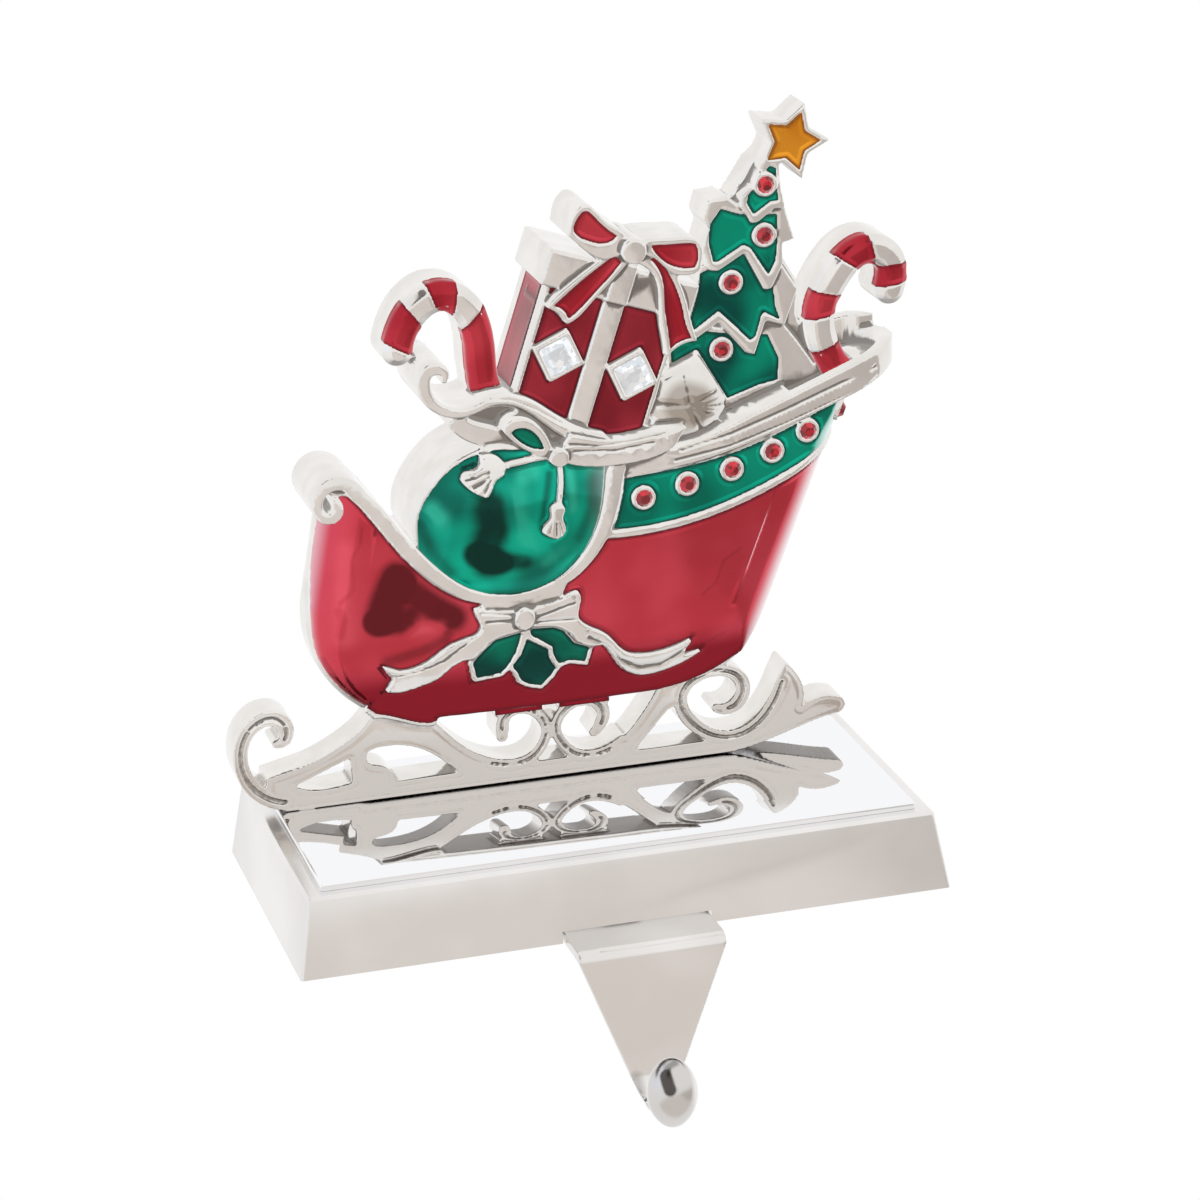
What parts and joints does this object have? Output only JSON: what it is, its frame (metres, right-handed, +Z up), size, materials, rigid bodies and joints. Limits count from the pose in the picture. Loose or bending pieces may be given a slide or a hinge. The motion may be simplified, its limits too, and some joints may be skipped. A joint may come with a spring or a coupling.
{
  "type": "mantel stocking holder",
  "caption": "Mantel stocking holder: a cast sleigh full of gifts, enamelled in red and green, on a weighted mirror-topped base with a hook for a stocking.",
  "frame": {"origin": "on the mantel, under the middle of the base", "axes": "+X right along the mantel as seen from the front, +Y back to the wall, +Z up"},
  "size_m": [0.1395, 0.0928, 0.181],
  "materials": {
    "nickel_plate": "satin bright plating with darker recesses",
    "mirror_top": "mirror polished",
    "red_enamel": "translucent gloss enamel",
    "green_enamel": "translucent gloss enamel",
    "amber_enamel": "gloss enamel",
    "red_stone": "faceted",
    "clear_stone": "faceted, foiled back",
    "ballast_iron": "rough cast",
    "felt_pad": "felt",
    "zinc_screw": "bright zinc"
  },
  "bodies": {
    "root": {"base_shell": "nickel_plate", "stocking_hook": "nickel_plate", "sleigh_casting": "nickel_plate", "mirror_plate": "mirror_top", "enamel_body": "red_enamel", "enamel_joint_strips": "red_enamel", "enamel_gift_left": "red_enamel", "enamel_gift_right": "red_enamel", "enamel_gift_side": "red_enamel", "enamel_gift_bow_left": "red_enamel", "enamel_gift_bow_right": "red_enamel", "enamel_gift_bow_tail_left": "red_enamel", "enamel_gift_bow_tail_right": "red_enamel", "cane_stripes_left": "red_enamel", "cane_stripes_right": "red_enamel", "enamel_band": "green_enamel", "enamel_sack": "green_enamel", "enamel_holly_left": "green_enamel", "enamel_holly_middle": "green_enamel", "enamel_holly_right": "green_enamel", "enamel_ribbon_loop": "green_enamel", "enamel_tree_1": "green_enamel", "enamel_tree_2": "green_enamel", "enamel_tree_3": "green_enamel", "enamel_tree_4": "green_enamel", "enamel_star": "amber_enamel", "band_stones": "red_stone", "tree_stones": "red_stone", "gift_crystals": "clear_stone", "ballast_block": "ballast_iron", "foot_pad": "felt_pad", "figure_screws": "zinc_screw", "hook_screws": "zinc_screw"}
  },
  "joints": []
}
